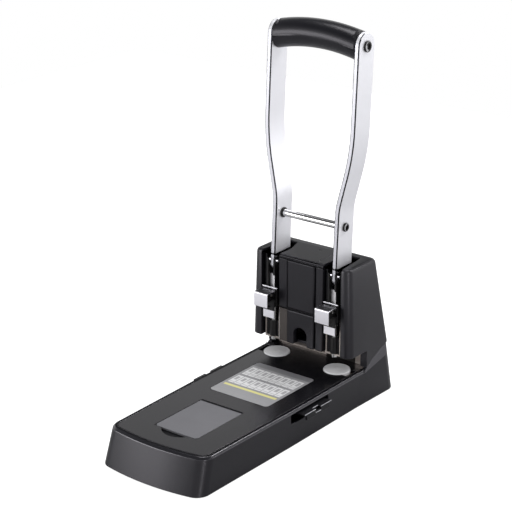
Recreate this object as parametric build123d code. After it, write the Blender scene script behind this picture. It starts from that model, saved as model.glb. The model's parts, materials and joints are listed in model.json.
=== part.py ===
from build123d import *
import os
from math import cos, hypot, pi, radians, sin, sqrt, tan

# Heavy two-hole lever punch, in millimetres.
# x runs across the machine with 0 on its centre plane, y from its front to its rear with 0 on
# the line through the two cutting discs, and z up from the table. Each piece is moved back by
# origin_y when it is written, so that the origin is the middle of the footprint.

# ---- base
deck_z = 38.9            # top face of the deck
shell_bottom = 1.0       # lower edge of the base shell; the feet reach down to the table
base_front_low, base_front_high = -269.2, -256.9   # middle of the raked front, at the bottom and the deck
base_rear_low, base_rear_high = 75.4, 68.4
half_width_low, half_width_high = 66.4, 65.2       # ahead of the tower
tail_width_low, tail_width_high = 68.3, 67.4       # at the rear corners
nose_width_low, nose_width_high = 64.6, 62.8       # at the front corners, before they are rounded
front_bow = 4.7          # how far the front face falls back 50 mm from its middle
corner_radius = 15.0
rim_chamfer = 2.2        # bevel round the upper edge of the base
side_break_y = -120.0    # ahead of this the sides draw in towards the nose
shell_wall = 3.0
deck_thickness = 3.0
deck_inset = 5.0         # from the shell's upper outline to the deck's edge
deck_gap = 0.4
ledge_width = 3.0
ledge_thickness = 2.5
foot_radius = 8.0
foot_places_x, foot_places_y = (-50.0, 50.0), (-235.0, 52.0)
floor_thickness, floor_gap = 2.0, 0.3
bolt_radius, bolt_head_radius, bolt_head_height = 3.0, 5.0, 3.0
bolt_hole_gap, bolt_sink = 0.1, 0.2
bolt_places = [(x, y) for x in (-20.0, 20.0) for y in (-14.0, 30.0)]
foot_plate_half_width, foot_plate_front, foot_plate_rear = 54.0, -22.0, 40.0
tower_rear_wall, tower_room_depth = 4.5, 5.0       # shell wall behind the tower; room below its ledge
wing_points = [(16.7, 38.9), (29.8, 47.0), (45.0, 53.3), (58.9, 57.5)]
wing_facet = [(65.0, 22.0, 42.0), (65.0, 62.0, 57.0), (68.0, 30.0, 29.0)]
wing_gap = 0.3           # between the wings and the tower cover

# ---- throat, where the paper goes in
throat_top = 60.0
throat_rear = 26.0       # the back stop's front face
throat_side_rear = 19.0  # how far back the slot is open at the sides
back_stop_half_width, back_stop_thickness, back_stop_gap = 57.0, 2.0, 0.2

# ---- punches and discs
punch_spacing = 80.0     # standard two-hole spacing
punch_x = punch_spacing / 2
punch_y = -5.2
punch_radius, punch_wall = 3.0, 0.8
punch_tip_z = 56.0
disc_radius, disc_top = 14.5, 39.9
disc_gap, disc_lift, disc_edge = 0.4, 0.05, 0.4
disc_cap, pivot_tip_gap = 1.2, 0.1
pocket_inner, pocket_outer, pocket_half = 6.0, 19.0, 8.5   # finger pocket, from the disc's centre
pivot_radius, pivot_clearance = 2.0, 0.05
die_plate_thickness = 3.0
die_plate_half_width, die_plate_front = 56.0, -22.0

# ---- lever
fulcrum_y, fulcrum_z = 5.0, 139.5
fulcrum_radius = 5.0
shaft_clearance = 0.05
arm_thickness, arm_width = 5.5, 28.5
arm_lean = 3.05          # degrees, backwards
arm_length = 251.5       # from the fulcrum to the grip's axis
arm_top_x = 54.3         # centre plane of an arm beside the grip
bend_start_z, bend_angle = 212.0, 13.0
lower_bend_radius, upper_bend_radius = 70.0, 230.0
arm_chamfer_start = 1.5  # above the fulcrum, on the front edge
cross_pin_y, cross_pin_z, cross_pin_radius = punch_y, 147.5, 2.0
cross_pin_half_length, cross_pin_chamfer = 6.2, 0.4
crossbar_y, crossbar_z, crossbar_radius = 6.5, 199.0, 4.0
washer_radius, washer_thickness = 5.5, 1.5
crossbar_bore_depth, crossbar_screw_reach = 12.0, 11.0
crossbar_screw_radius, crossbar_head_radius, crossbar_head_height = 2.4, 4.8, 2.5
grip_radius, grip_rise = 15.1, 6.3
grip_drop = 1.1          # the grip's ends lie this far below its screws
grip_screw_radius, grip_head_radius, grip_head_height = 3.4, 6.0, 2.4
grip_bore_depth, grip_screw_reach = 17.0, 16.0
core_radius = 6.0
socket_share, socket_depth_share, head_dome_share = 0.55, 0.6, 0.45

# ---- tower cover
cover_half_low, cover_half_high = 65.8, 61.9       # at the deck and at the top
cover_front = -12.6
cover_rear_low, cover_rear_high = 68.2, 41.0
cover_top = 159.0
cover_corner = 8.0
cover_wall, cover_roof = 2.8, 3.0
cover_rim = 3.4
bay_inner, bay_outer = 28.5, 52.0                  # the open bay each side of the middle column
bay_rear = 30.0
bay_inner_slope, bay_outer_slope, bay_lip = 20.0, 10.0, 2.0
bay_wall_rear = 12.0     # how far back the bay's inner wall runs
slot_inner, slot_outer = 35.0, 47.0                # rear end of the slot that an arm swings in
column_wall = 2.5
panel_half_width, panel_thickness = 17.5, 2.5
panel_groove_z, panel_groove = 98.7, 1.6
panel_top, panel_top_gap = 155.2, 0.6
panel_proud, panel_edge = 0.3, 0.5
strip_back, flange_back = 0.3, 0.9
seam_left, seam_right = 0.5, 1.2
roof_seam_rear, roof_seam_depth = 22.0, 0.8        # the right seam runs on over the roof
arch_half_width, arch_top = 8.5, 80.5
arch_ahead, arch_behind = 20.0, 8.0
shaft_hole_gap = 0.6     # round the fulcrum shaft, where it passes the cover
top_screw_y, top_screw_radius, top_screw_gap = 23.0, 1.5, 0.1
top_screw_sink, top_screw_hole = 0.3, 1.2          # head and hole bottom below the roof

# ---- steel frame inside
plate_offset, plate_thickness = 9.0, 2.0           # side plates, each side of a punch's centre plane
plate_front = -8.0
plate_top = 154.0
plate_column_front, plate_rear = 28.3, 38.0
plate_foot_z = 6.2
guide_plate_low, guide_plate_high = 58.5, 60.5
guide_block_top = 79.0
guide_block_front, guide_block_rear = -7.0, 8.0
bush_radius = 5.0
tie_radius, tie_y = 3.0, 33.0
tie_heights = [70.0, 105.0, 146.0]
stop_radius, stop_z, stop_gap = 3.0, 152.0, 0.3
spacer_radius = 6.4
clip_radius, clip_thickness, shaft_end = 7.5, 1.2, 0.8

# ---- rams, one in each bay
slide_gap = 0.1
ram_front, ram_rear = -12.0, 22.0
ram_low, ram_high = 97.0, 118.0
ram_foot_low, ram_foot_high, ram_foot_front = 100.0, 106.0, -0.6
bar_half_width, bar_front, bar_rear = 3.25, -8.4, -2.0
bar_low, bar_top = 110.0, 132.5
yoke_thickness, yoke_front, yoke_rear = 2.0, -12.0, -1.6
yoke_low, yoke_top = 112.0, 151.6
yoke_slot_clearance = 0.35
ram_plate_thickness, ram_plate_front, ram_plate_half_width = 1.5, -14.0, 9.5
ram_plate_gap = 0.6      # between its wide front part and the side plates
collar_radius, collar_low, collar_high = 4.5, 104.0, 107.5
punch_top = 109.6

# ---- clamp levers that hold the punches in the rams
clamp_y, clamp_z = -18.5, 112.0
clamp_half_width, clamp_sheet = 9.0, 1.8
clamp_front, clamp_back = -30.0, -15.5
clamp_low, clamp_high = 101.0, 117.2
clamp_lip = 6.0
clamp_bend = 1.6
ear_inner, ear_outer, ear_radius, ear_low = 4.2, 6.0, 3.4, 2.4
knuckle_radius, knuckle_half_width = 2.8, 3.9
clamp_pin_radius, clamp_pin_gap, clamp_pin_end = 1.4, 0.04, 0.6
lug_low, lug_high = 105.5, 110.0                   # where the knuckle's web leaves the ram
back_tab_half_width, back_tab_front, back_tab_rear = 7.25, -15.6, -14.1
back_tab_low, back_tab_high = 84.0, 105.5

# ---- return springs
spring_y, spring_coil_radius, spring_wire_radius, spring_turns = 16.0, 5.2, 0.7, 8
spring_seat_gap, spring_top_gap = 0.05, 0.1

# ---- storage box, label and paper gauge on the base
lid_half_width, lid_front, lid_rear = 26.7, -221.3, -146.6
lid_gap, lid_thickness, lid_corner = 0.4, 2.6, 4.0
lid_pin_radius, lid_pin_clearance, lid_pin_reach, lid_pin_end = 0.7, 0.06, 3.0, 0.5
notch_radius, notch_y = 20.0, -212.0
tray_half_width, tray_front, tray_rear = 24.5, -218.0, -151.0
tray_wall, tray_floor_z, tray_flange, tray_flange_thickness = 1.5, 9.0, 8.0, 2.0
tray_flange_front = -236.0
label_half_width, label_front, label_rear = 37.5, -121.5, -36.6
label_thickness, label_sink, label_corner, label_gap = 0.5, 0.3, 4.0, 0.2
gauge_front, gauge_rear = -104.0, -57.0
gauge_low, gauge_high = 31.5, 33.5
gauge_reach = 73.4       # from the centre plane to a gauge end
gauge_lip_low, gauge_lip_thickness = 26.5, 2.2
gauge_notch, gauge_notch_depth = 9.0, 4.0
gauge_window_front, gauge_window_rear = -117.0, -52.0
gauge_window_low, gauge_window_high = 25.5, 35.4
rail_gap, rail_width, rail_lip, rail_half_length, rail_sill = 0.3, 3.0, 3.0, 56.0, 1.2

base_middle = (base_front_low + base_rear_low) / 2
origin_y = -base_middle
tiny = 0.02              # between solids that only touch
far = 300.0              # cuts and prisms that run right through


# ---- helpers
def block(x0, x1, y0, y1, z0, z1):
    middle = Location(((x0 + x1) / 2, (y0 + y1) / 2, (z0 + z1) / 2))
    return middle * Box(x1 - x0, y1 - y0, z1 - z0)


def rod_x(radius, x0, x1, y, z):
    return Location(((x0 + x1) / 2, y, z)) * Rotation(0, 90, 0) * Cylinder(radius, x1 - x0)


def rod_z(radius, x, y, z0, z1):
    return Location((x, y, (z0 + z1) / 2)) * Cylinder(radius, z1 - z0)


def slab_x(outline, x0, x1):
    """Solid with a side view given by its (y, z) corners."""
    face = make_face(Polyline([(0, y, z) for y, z in outline], close=True))
    return Location((x0, 0, 0)) * extrude(face, amount=x1 - x0, dir=(1, 0, 0))


def slab_z(outline, z0, z1):
    """Solid with a plan view given by its (x, y) corners."""
    face = make_face(Polyline([(x, y, z0) for x, y in outline], close=True))
    return extrude(face, amount=z1 - z0, dir=(0, 0, 1))


def mirrored(shape):
    return mirror(shape, about=Plane.YZ)


def both_sides(shape):
    return shape + mirrored(shape)


def between(low, high, share):
    return low + (high - low) * share


# ---- base
def base_plan(z, inset=0.0):
    """Plan of the base at height z, drawn in by inset."""
    share = (z - shell_bottom) / (deck_z - shell_bottom)
    front = between(base_front_low, base_front_high, share) + inset
    rear = between(base_rear_low, base_rear_high, share) - inset
    side = between(half_width_low, half_width_high, share) - inset
    tail = between(tail_width_low, tail_width_high, share) - inset
    nose = between(nose_width_low, nose_width_high, share) - inset
    corner = front + front_bow * (nose / 50) ** 2
    outline = Curve() + [
        ThreePointArc((-nose, corner), (0, front), (nose, corner)),
        Line((nose, corner), (side, side_break_y)),
        Line((side, side_break_y), (side, 0)),
        Line((side, 0), (tail, rear)),
        Line((tail, rear), (-tail, rear)),
        Line((-tail, rear), (-side, 0)),
        Line((-side, 0), (-side, side_break_y)),
        Line((-side, side_break_y), (-nose, corner)),
    ]
    face = make_face(outline)
    ends = face.vertices().filter_by(lambda v: v.Y < -200 or v.Y > 30)
    face = fillet(ends, max(corner_radius - inset, 3.0))
    return Location((0, 0, z)) * face


def base_loft(z0, z1, inset0=0.0, inset1=0.0):
    return loft([base_plan(z0, inset0).face(), base_plan(z1, inset1).face()], ruled=True)


def facet_tool():
    """Everything outside the slanted facet of the right wing."""
    a, b, c = [Vector(*p) for p in wing_facet]
    normal = (b - a).cross(c - a)
    if normal.X < 0:
        normal = normal * -1
    outside = extrude(Plane(origin=a, z_dir=normal) * Rectangle(400, 400), amount=60)
    return outside & block(40, 120, wing_points[0][0] - 2, 120, 0, 120)


def rim_tool():
    """What the bevel takes off the upper edge, ahead of the raised rear sides."""
    over = 1.0
    slope = 0.8
    low, high = deck_z - rim_chamfer - over, deck_z + over
    kept = base_loft(low, high, -over * slope, (rim_chamfer + over) * slope)
    return block(-100, 100, -300, wing_points[0][0], low + over / 2, high - over / 2) - kept


def make_base_shell():
    """Outer form: one drafted block under a side view that rises at the rear."""
    rear_y, rear_z = wing_points[-1]
    body = base_loft(shell_bottom, rear_z + 1.0)
    side_view = [(-300, 0), (-300, deck_z)] + wing_points
    side_view += [(rear_y + 30, rear_z), (rear_y + 30, 0)]
    body &= slab_x(side_view, -100, 100)
    body -= rim_tool()
    body -= facet_tool()
    body -= mirrored(facet_tool())
    ledge_low = deck_z - deck_thickness - ledge_thickness
    body -= base_loft(shell_bottom - 1, ledge_low, shell_wall, shell_wall)
    seat = deck_z - deck_thickness
    body -= base_loft(ledge_low - 1, seat, deck_inset + ledge_width, deck_inset + ledge_width)
    opening = base_loft(seat, deck_z + 30, deck_inset, deck_inset)
    body -= opening & block(-100, 100, -300, throat_rear, 0, 100)
    body -= block(-back_stop_half_width, back_stop_half_width, throat_rear - 1,
                  base_rear_high - tower_rear_wall, ledge_low - tower_room_depth, far)
    window = block(rail_half_length, far, gauge_window_front, gauge_window_rear,
                   gauge_window_low, gauge_window_high)
    body -= both_sides(window)
    return body


def disc_well():
    """Round well for the right disc, with the finger pocket at its outer side."""
    x = punch_x
    low, high = deck_z - deck_thickness - 1, deck_z + 1
    well = rod_z(disc_radius + disc_gap, x, 0, low, high)
    pocket = block(x + pocket_inner, x + pocket_outer, -pocket_half, pocket_half, low, high)
    return well + pocket


def make_deck_cover():
    seat = deck_z - deck_thickness
    inset = deck_inset + deck_gap
    deck = base_loft(seat, deck_z, inset, inset)
    deck &= block(-100, 100, -300, throat_rear - 0.1, 0, 100)
    lid_hole = block(-lid_half_width - lid_gap, lid_half_width + lid_gap, lid_front - lid_gap,
                     lid_rear + lid_gap, 0, 100)
    notch = rod_z(notch_radius, 0, notch_y, 0, 100) & block(-50, 50, -300, lid_front, 0, 100)
    deck -= lid_hole + notch
    deck -= extrude(label_place() * label_plan(label_gap), amount=2)
    deck -= both_sides(disc_well())
    pin_hole = lid_half_width + lid_pin_reach + lid_pin_end
    deck -= rod_x(lid_pin_radius + tiny, -pin_hole, pin_hole, lid_hinge_y(), lid_hinge_z())
    return deck


def make_floor():
    inset = shell_wall + floor_gap
    floor = base_loft(shell_bottom, shell_bottom + floor_thickness, inset, inset)
    for x in foot_places_x:
        for y in foot_places_y:
            floor -= rod_z(foot_radius, x, y, 0, shell_bottom + floor_thickness)
    for x, y in bolt_places:
        floor -= rod_z(bolt_radius + bolt_hole_gap, x, y, 0, far)
    return floor


def make_feet():
    feet = Part()
    for x in foot_places_x:
        for y in foot_places_y:
            feet += rod_z(foot_radius, x, y, 0, shell_bottom + floor_thickness)
    return feet


def make_base_bolts():
    """Bolts from below the floor into the frame's foot plate."""
    bolts = Part()
    top = plate_foot_z + bolt_head_height
    for x, y in bolt_places:
        bolts += rod_z(bolt_radius, x, y, shell_bottom + bolt_sink, top)
        bolts += rod_z(bolt_head_radius, x, y, plate_foot_z, top)
    return bolts


def make_foot_plate():
    plate = block(-foot_plate_half_width, foot_plate_half_width, foot_plate_front, foot_plate_rear,
                  shell_bottom + floor_thickness, plate_foot_z)
    for x, y in bolt_places:
        plate -= rod_z(bolt_radius, x, y, 0, far)
    return plate


# ---- storage box and its lid
def lid_hinge_y():
    return lid_rear - lid_thickness / 2


def lid_hinge_z():
    return deck_z - lid_thickness / 2


def make_storage_lid():
    barrel_radius = lid_thickness / 2
    low = deck_z - lid_thickness
    lid = block(-lid_half_width, lid_half_width, lid_front, lid_hinge_y(), low, deck_z)
    front_corners = lid.edges().filter_by(Axis.Z).group_by(Axis.Y)[0]
    lid = fillet(front_corners, lid_corner)
    lid += rod_x(barrel_radius, -lid_half_width, lid_half_width, lid_hinge_y(), lid_hinge_z())
    lid -= rod_x(lid_pin_radius + lid_pin_clearance, -far, far, lid_hinge_y(), lid_hinge_z())
    return lid


def make_lid_pin():
    reach = lid_half_width + lid_pin_reach
    return rod_x(lid_pin_radius, -reach, reach, lid_hinge_y(), lid_hinge_z())


def make_storage_tray():
    top = deck_z - deck_thickness
    cup = block(-tray_half_width - tray_wall, tray_half_width + tray_wall, tray_front - tray_wall,
                tray_rear + tray_wall, tray_floor_z, top)
    flange = block(-tray_half_width - tray_flange, tray_half_width + tray_flange, tray_flange_front,
                   tray_rear + tray_flange, top - tray_flange_thickness, top)
    hollow = block(-tray_half_width, tray_half_width, tray_front, tray_rear,
                   tray_floor_z + tray_wall, top + 1)
    return cup + flange - hollow


def label_place():
    return Location((0, (label_front + label_rear) / 2, deck_z - label_sink))


def label_plan(gap=0.0):
    return RectangleRounded(2 * (label_half_width + gap), label_rear - label_front + 2 * gap,
                            label_corner)


def make_label():
    return extrude(label_place() * label_plan(), amount=label_thickness)


# ---- paper gauge
def make_side_gauge():
    bar = block(-gauge_reach, gauge_reach, gauge_front, gauge_rear, gauge_low, gauge_high)
    margin = rail_lip + rail_gap
    lip = block(gauge_reach - gauge_lip_thickness, gauge_reach, gauge_front + margin,
                gauge_rear - margin, gauge_lip_low, gauge_high)
    gauge = bar + both_sides(lip)
    middle = (gauge_front + gauge_rear) / 2
    notch = block(gauge_reach - gauge_notch_depth, gauge_reach + 1, middle - gauge_notch / 2,
                  middle + gauge_notch / 2, gauge_low - 2, gauge_high + 1)
    return gauge - both_sides(notch)


def make_gauge_rails():
    """Two rails under the deck that carry the gauge."""
    top = deck_z - deck_thickness
    low = gauge_low - rail_gap - rail_sill
    outer = gauge_front - rail_gap
    rail = block(-rail_half_length, rail_half_length, outer - rail_width, outer + rail_lip, low, top)
    middle = (gauge_front + gauge_rear) / 2
    front_rail = rail - block(-far, far, outer, middle, gauge_low - rail_gap, gauge_high + rail_gap)
    rear_rail = mirror(front_rail, about=Plane.XZ.offset(-middle))
    return front_rail + rear_rail


# ---- discs
def disc_bottom():
    return deck_z - deck_thickness + disc_lift


def make_disc(x):
    disc = rod_z(disc_radius, x, 0, disc_bottom(), disc_top)
    top_edge = disc.edges().group_by(Axis.Z)[-1]
    disc = chamfer(top_edge, disc_edge)
    disc -= rod_z(pivot_radius + pivot_clearance, x, 0, disc_bottom() - 1, disc_top - disc_cap)
    return disc


def make_disc_pivots():
    top = disc_top - disc_cap - pivot_tip_gap
    pin = rod_z(pivot_radius, punch_x, 0, deck_z - deck_thickness - die_plate_thickness, top)
    return both_sides(pin)


def make_die_plate():
    top = deck_z - deck_thickness
    plate = block(-die_plate_half_width, die_plate_half_width, die_plate_front, throat_rear,
                  top - die_plate_thickness, top)
    return plate - make_disc_pivots()


def make_back_stop():
    low = deck_z - deck_thickness - die_plate_thickness
    half = back_stop_half_width - back_stop_gap
    return block(-half, half, throat_rear, throat_rear + back_stop_thickness, low, guide_plate_low)


# ---- steel frame of one bay; centre plane at punch_x
def side_plate_outline():
    die_low = deck_z - deck_thickness - die_plate_thickness
    return [
        (plate_front, guide_plate_low), (plate_front, plate_top), (plate_rear, plate_top),
        (plate_rear, plate_foot_z), (die_plate_front, plate_foot_z), (die_plate_front, die_low),
        (plate_column_front, die_low), (plate_column_front, guide_plate_low),
    ]


def make_bay_frame():
    plates = Part()
    for side in (-1, 1):
        x = punch_x + side * plate_offset
        plates += slab_x(side_plate_outline(), x - plate_thickness / 2, x + plate_thickness / 2)
    inner = plate_offset - plate_thickness / 2
    x0, x1 = punch_x - inner, punch_x + inner
    web = block(x0, x1, plate_rear - plate_thickness, plate_rear, plate_foot_z, plate_top)
    guide = block(x0, x1, plate_front, plate_column_front + 1, guide_plate_low, guide_plate_high)
    frame = plates + web + guide
    frame -= rod_z(punch_radius + shaft_clearance, punch_x, punch_y, 0, guide_plate_high + 1)
    frame -= rod_x(fulcrum_radius, 0, far, fulcrum_y, fulcrum_z)
    frame -= rod_x(stop_radius, 0, far, stop_y(), stop_z)
    for z in tie_heights:
        frame -= rod_x(tie_radius, 0, far, tie_y, z)
    return frame


def make_guide_blocks():
    inner = plate_offset - plate_thickness / 2
    guide = block(punch_x - inner, punch_x + inner, guide_block_front, guide_block_rear,
                  guide_plate_high, guide_block_top)
    return both_sides(guide - rod_z(bush_radius, punch_x, punch_y, 0, far))


def make_punch_bushes():
    bush = rod_z(bush_radius, punch_x, punch_y, guide_plate_high, guide_block_top)
    bush -= rod_z(punch_radius + shaft_clearance, punch_x, punch_y, 0, far)
    return both_sides(bush)


def frame_half_width():
    return punch_x + plate_offset + plate_thickness / 2


def make_tie_rods():
    rods = Part()
    for z in tie_heights:
        rods += rod_x(tie_radius, -frame_half_width(), frame_half_width(), tie_y, z)
    return rods


def stop_y():
    """The stop rod lies just behind the arms' rear edges."""
    rise = stop_z - fulcrum_z
    edge = fulcrum_y + rise * tan(radians(arm_lean)) + arm_width / 2 / cos(radians(arm_lean))
    return edge + stop_radius + stop_gap


def make_lever_stops():
    reach = plate_offset + plate_thickness / 2
    return both_sides(rod_x(stop_radius, punch_x - reach, punch_x + reach, stop_y(), stop_z))


def make_fulcrum_shaft():
    reach = frame_half_width() + clip_thickness + shaft_end
    return rod_x(fulcrum_radius, -reach, reach, fulcrum_y, fulcrum_z)


def make_shaft_clips():
    x = frame_half_width()
    clip = rod_x(clip_radius, x, x + clip_thickness, fulcrum_y, fulcrum_z)
    clip -= rod_x(fulcrum_radius, x - 1, x + 5, fulcrum_y, fulcrum_z)
    return both_sides(clip)


def make_spacers():
    """Rings on the shaft that keep each arm in the middle of its bay."""
    inner = arm_thickness / 2 + slide_gap
    outer = plate_offset - plate_thickness / 2
    rings = Part()
    for side in (-1, 1):
        x0, x1 = sorted((punch_x + side * inner, punch_x + side * outer))
        ring = rod_x(spacer_radius, x0, x1, fulcrum_y, fulcrum_z)
        rings += ring - rod_x(fulcrum_radius, x0 - 1, x1 + 1, fulcrum_y, fulcrum_z)
    return both_sides(rings)


# ---- lever
def arm_front_view():
    """An arm seen from the front: a straight foot, an outward bend and a straight top."""
    angle = radians(bend_angle)
    low_x, top_x, z1 = punch_x, arm_top_x, bend_start_z
    shift_low = lower_bend_radius * (1 - cos(angle))
    shift_high = upper_bend_radius * (1 - cos(angle))
    z2 = z1 + lower_bend_radius * sin(angle)
    z3 = z2 + (top_x - low_x - shift_low - shift_high) / tan(angle)
    z4 = z3 + upper_bend_radius * sin(angle)

    def low_arc(offset, turn):
        radius = lower_bend_radius - offset
        return (low_x + lower_bend_radius - radius * cos(turn), 0, z1 + radius * sin(turn))

    def high_arc(offset, turn):
        radius = upper_bend_radius + offset
        return (top_x - upper_bend_radius + radius * cos(turn), 0, z4 - radius * sin(turn))

    def edge(offset):
        bottom = (low_x + offset, 0, fulcrum_z - 40)
        top = (top_x + offset, 0, fulcrum_z + arm_length + 60)
        return [
            Line(bottom, low_arc(offset, 0)),
            ThreePointArc(low_arc(offset, 0), low_arc(offset, angle / 2), low_arc(offset, angle)),
            Line(low_arc(offset, angle), high_arc(offset, angle)),
            ThreePointArc(high_arc(offset, angle), high_arc(offset, angle / 2), high_arc(offset, 0)),
            Line(high_arc(offset, 0), top),
        ], bottom, top

    outer, outer_bottom, outer_top = edge(arm_thickness / 2)
    inner, inner_bottom, inner_top = edge(-arm_thickness / 2)
    ends = [Line(outer_bottom, inner_bottom), Line(outer_top, inner_top)]
    return make_face(Curve() + outer + inner + ends)


def arm_side_view():
    """An arm seen from the side, as a solid across the machine: round ends and one cut corner."""
    half = arm_width / 2
    bar = block(0, 80, -half, half, 0, arm_length)
    bar += rod_x(half, 0, 80, 0, 0) + rod_x(half, 0, 80, 0, arm_length)
    cut = slab_x([(-half - 30, arm_chamfer_start + 30), (-half - 30, -40),
                  (-half + 40, arm_chamfer_start - 40)], -10, 100)
    bar -= cut
    return Location((0, fulcrum_y, fulcrum_z)) * Rotation(-arm_lean, 0, 0) * bar


def grip_axis():
    lean = radians(arm_lean)
    return fulcrum_y + arm_length * sin(lean), fulcrum_z + arm_length * cos(lean)


def make_arm():
    arm = Location((0, -60, 0)) * extrude(arm_front_view(), amount=200, dir=(0, 1, 0))
    arm &= arm_side_view()
    arm -= rod_x(fulcrum_radius + shaft_clearance, 0, far, fulcrum_y, fulcrum_z)
    arm -= rod_x(cross_pin_radius, 0, far, cross_pin_y, cross_pin_z)
    arm -= rod_x(crossbar_screw_radius, 0, far, crossbar_y, crossbar_z)
    y, z = grip_axis()
    arm -= rod_x(grip_screw_radius, 0, far, y, z)
    return arm


def make_cross_pins():
    reach = cross_pin_half_length
    pin = rod_x(cross_pin_radius, punch_x - reach, punch_x + reach, cross_pin_y, cross_pin_z)
    return both_sides(chamfer(pin.edges(), cross_pin_chamfer))


def make_crossbar():
    end = punch_x - arm_thickness / 2 - washer_thickness
    bar = rod_x(crossbar_radius, -end, end, crossbar_y, crossbar_z)
    bore = rod_x(crossbar_screw_radius, end - crossbar_bore_depth, end + 1, crossbar_y, crossbar_z)
    return bar - both_sides(bore)


def make_crossbar_washers():
    inner_face = punch_x - arm_thickness / 2
    washer = rod_x(washer_radius, inner_face - washer_thickness, inner_face, crossbar_y, crossbar_z)
    washer -= rod_x(crossbar_screw_radius, 0, far, crossbar_y, crossbar_z)
    return both_sides(washer)


def socket_screw(x, y, z, shank_radius, shank_length, head_radius, head_height):
    """Domed socket-head screw with its head to the right of x."""
    head = rod_x(head_radius, x, x + head_height, y, z)
    rim = head.edges().group_by(Axis.X)[-1]
    head = fillet(rim, head_height * head_dome_share)
    depth = head_height * socket_depth_share
    hexagon = Plane(origin=(x + head_height - depth, y, z), z_dir=(1, 0, 0))
    head -= extrude(hexagon * RegularPolygon(head_radius * socket_share, 6), amount=depth + 1)
    return head + rod_x(shank_radius, x - shank_length, x, y, z)


def make_crossbar_screws():
    face = punch_x + arm_thickness / 2
    length = arm_thickness + washer_thickness + crossbar_screw_reach
    return both_sides(socket_screw(face, crossbar_y, crossbar_z, crossbar_screw_radius, length,
                                   crossbar_head_radius, crossbar_head_height))


def make_grip_screws():
    y, z = grip_axis()
    face = arm_top_x + arm_thickness / 2
    length = arm_thickness + grip_screw_reach
    return both_sides(socket_screw(face, y, z, grip_screw_radius, length,
                                   grip_head_radius, grip_head_height))


def grip_half_length():
    return arm_top_x - arm_thickness / 2


def make_grip_core():
    y, z = grip_axis()
    half = grip_half_length()
    core = rod_x(core_radius, -half, half, y, z)
    return core - both_sides(rod_x(grip_screw_radius, half - grip_bore_depth, half + 1, y, z))


def make_grip():
    y, z = grip_axis()
    half = grip_half_length()
    radius = (half ** 2 + grip_rise ** 2) / (2 * grip_rise)
    crown_z = z - grip_drop + grip_rise
    reach = half + grip_radius
    end_z = crown_z - radius + sqrt(radius ** 2 - reach ** 2)
    path = ThreePointArc((-reach, y, end_z), (0, y, crown_z), (reach, y, end_z))
    start = Plane(origin=path @ 0, z_dir=path % 0)
    grip = sweep(start * Circle(grip_radius), path=path)
    grip &= block(-half, half, -far, far, 0, 2 * far)
    return grip - rod_x(core_radius, -far, far, y, z)


# ---- ram of one bay
def ram_half_width():
    return plate_offset - plate_thickness / 2 - slide_gap


def make_ram_block():
    half = ram_half_width()
    x0, x1 = punch_x - half, punch_x + half
    ram = block(x0, x1, ram_front, ram_foot_front, ram_low, ram_high)
    ram += block(x0, x1, ram_foot_front, ram_rear, ram_foot_low, ram_foot_high)
    ram += block(punch_x - back_tab_half_width, punch_x + back_tab_half_width, back_tab_rear,
                 ram_front, ram_low, back_tab_high)
    lug = slab_x([(ram_front, lug_low), (ram_front, lug_high), (clamp_y, lug_high),
                  (clamp_y, clamp_z - knuckle_radius)],
                 punch_x - knuckle_half_width, punch_x + knuckle_half_width)
    lug += rod_x(knuckle_radius, punch_x - knuckle_half_width, punch_x + knuckle_half_width,
                 clamp_y, clamp_z)
    ram += lug
    ram -= rod_x(clamp_pin_radius, 0, far, clamp_y, clamp_z)
    ram -= block(punch_x - bar_half_width, punch_x + bar_half_width, bar_front, bar_rear, bar_low, far)
    yoke_reach = bar_half_width + yoke_thickness
    ram -= block(punch_x - yoke_reach, punch_x + yoke_reach, yoke_front, yoke_rear, yoke_low, far)
    ram -= rod_z(punch_radius + tiny, punch_x, punch_y, 0, bar_low)
    ram -= rod_z(collar_radius + tiny, punch_x, punch_y, collar_low - tiny, collar_high + tiny)
    return ram


def make_ram_bar():
    return block(punch_x - bar_half_width, punch_x + bar_half_width, bar_front, bar_rear,
                 bar_low, bar_top)


def make_yoke():
    """Two plates astride the arm, with level slots in which the cross pin runs."""
    plates = Part()
    radius = hypot(cross_pin_y - fulcrum_y, cross_pin_z - fulcrum_z)
    reach = cross_pin_radius + yoke_slot_clearance
    slot = [fulcrum_y - radius - reach, cross_pin_y + reach]
    for side in (-1, 1):
        x0, x1 = sorted((punch_x + side * bar_half_width,
                         punch_x + side * (bar_half_width + yoke_thickness)))
        plate = block(x0, x1, yoke_front, yoke_rear, yoke_low, yoke_top)
        plate -= block(x0 - 1, x1 + 1, slot[0], slot[1], cross_pin_z - reach, cross_pin_z + reach)
        plates += plate
    return plates


def make_ram_plate():
    half = ram_half_width()
    high = ram_high + ram_plate_thickness
    wide_rear = plate_front - ram_plate_gap
    plate = block(punch_x - ram_plate_half_width, punch_x + ram_plate_half_width, ram_plate_front,
                  wide_rear, ram_high, high)
    plate += block(punch_x - half, punch_x + half, wide_rear, ram_foot_front, ram_high, high)
    yoke_reach = bar_half_width + yoke_thickness
    return plate - block(punch_x - yoke_reach, punch_x + yoke_reach, yoke_front, yoke_rear, 0, far)


def make_back_tab():
    return block(punch_x - back_tab_half_width, punch_x + back_tab_half_width, back_tab_front,
                 back_tab_rear, back_tab_low, back_tab_high)


def make_punch_tube():
    tube = rod_z(punch_radius, punch_x, punch_y, punch_tip_z, punch_top)
    tube += rod_z(collar_radius, punch_x, punch_y, collar_low, collar_high)
    tube -= rod_z(punch_radius - punch_wall, punch_x, punch_y, 0, far)
    return tube


def make_clamp_pin():
    reach = ear_outer + clamp_pin_end
    return rod_x(clamp_pin_radius, punch_x - reach, punch_x + reach, clamp_y, clamp_z)


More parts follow.
